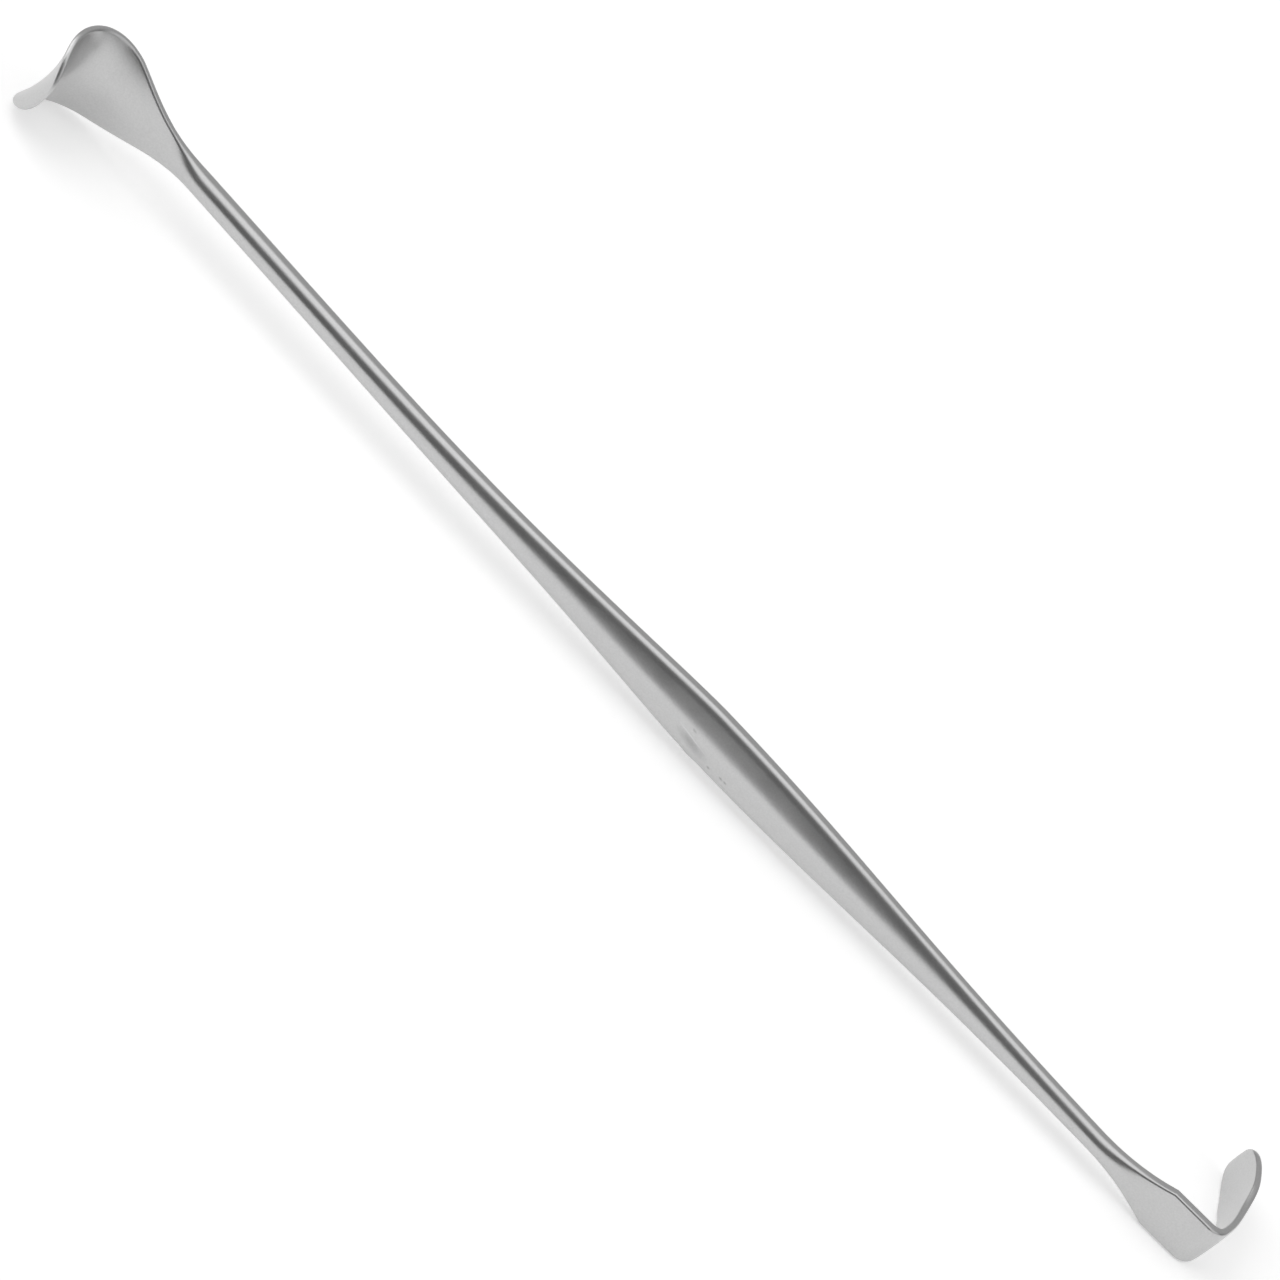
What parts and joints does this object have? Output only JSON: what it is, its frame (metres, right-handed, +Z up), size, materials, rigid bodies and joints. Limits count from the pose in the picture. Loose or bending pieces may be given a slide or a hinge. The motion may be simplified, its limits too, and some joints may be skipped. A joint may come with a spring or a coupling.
{
  "type": "surgical retractor",
  "caption": "Slim hand-held surgical retractor in satin steel, with a wide curled fan blade and a narrow right-angled blade at its ends, facing opposite sides.",
  "frame": {"origin": "under the middle of the instrument's bounding box, on the surface it lies on", "axes": "+X along the instrument from the large blade to the small blade, +Y toward the side that the small blade faces, +Z up across the width of the blades, as it lies on their edges"},
  "size_m": [0.1994, 0.0286, 0.0144],
  "materials": {
    "retractor": "satin, finely brushed"
  },
  "bodies": {
    "root": {"retractor": "retractor"}
  },
  "joints": []
}
